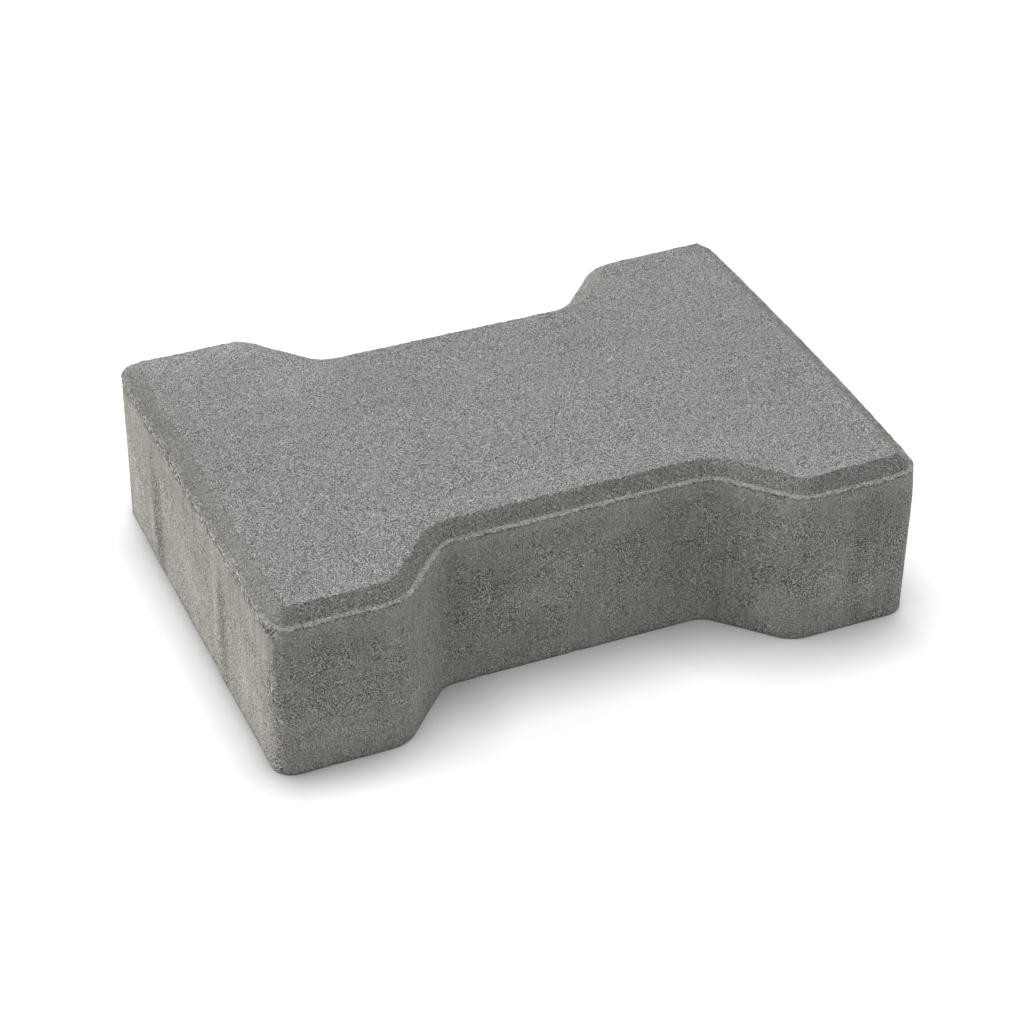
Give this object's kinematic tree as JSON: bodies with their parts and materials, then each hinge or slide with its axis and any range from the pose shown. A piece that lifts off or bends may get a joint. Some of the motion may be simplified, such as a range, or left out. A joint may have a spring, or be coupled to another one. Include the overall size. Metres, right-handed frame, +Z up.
{
  "type": "concrete paving stone",
  "caption": "Double-T interlocking paving stone of pressed concrete: an I-shaped slab with a chamfered rim on the wearing face and low spacer nibs on its ends.",
  "frame": {"origin": "middle of the underside, which rests on the ground", "axes": "+X along the stone over its two heads, +Y across the heads, +Z up to the wearing face"},
  "size_m": [0.2194, 0.154, 0.06],
  "materials": {
    "concrete": "rough matte, fine sandy grain"
  },
  "bodies": {
    "root": {"paving_stone": "concrete"}
  },
  "joints": []
}
